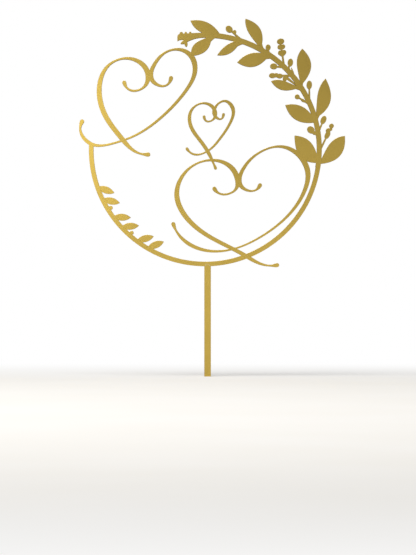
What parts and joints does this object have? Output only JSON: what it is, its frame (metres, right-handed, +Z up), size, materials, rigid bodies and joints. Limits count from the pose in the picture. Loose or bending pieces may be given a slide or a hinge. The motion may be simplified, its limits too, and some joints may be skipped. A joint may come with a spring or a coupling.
{
  "type": "cake topper",
  "caption": "Flat gold acrylic cake topper: a hoop on a pointed pick, part of it a leaf wreath, filled with calligraphic scroll hearts.",
  "frame": {"origin": "on the pick's centre line, in the middle of the sheet, where the pick enters the cake's top", "axes": "+Z up along the pick, +X to the right as seen from the front, +Y out of the back; the front faces -Y"},
  "size_m": [0.1371, 0.003, 0.2224],
  "materials": {
    "gold_acrylic": "satin"
  },
  "bodies": {
    "root": {"blossom": "gold_acrylic", "bud_1": "gold_acrylic", "bud_2": "gold_acrylic", "bud_3": "gold_acrylic", "bud_4": "gold_acrylic", "bud_5": "gold_acrylic", "bud_6": "gold_acrylic", "bud_7": "gold_acrylic", "bud_8": "gold_acrylic", "flower_spike": "gold_acrylic", "garland_dot_1": "gold_acrylic", "garland_dot_2": "gold_acrylic", "garland_leaf_1": "gold_acrylic", "garland_leaf_2": "gold_acrylic", "garland_leaf_3": "gold_acrylic", "garland_leaf_4": "gold_acrylic", "garland_leaf_5": "gold_acrylic", "garland_leaf_6": "gold_acrylic", "hoop": "gold_acrylic", "inner_sprig": "gold_acrylic", "leaf_1": "gold_acrylic", "leaf_10": "gold_acrylic", "leaf_11": "gold_acrylic", "leaf_2": "gold_acrylic", "leaf_3": "gold_acrylic", "leaf_4": "gold_acrylic", "leaf_5": "gold_acrylic", "leaf_6": "gold_acrylic", "leaf_7": "gold_acrylic", "leaf_8": "gold_acrylic", "leaf_9": "gold_acrylic", "left_heart": "gold_acrylic", "outer_sprig": "gold_acrylic", "pick": "gold_acrylic", "right_heart": "gold_acrylic", "small_heart": "gold_acrylic", "wreath_stem": "gold_acrylic"}
  },
  "joints": []
}
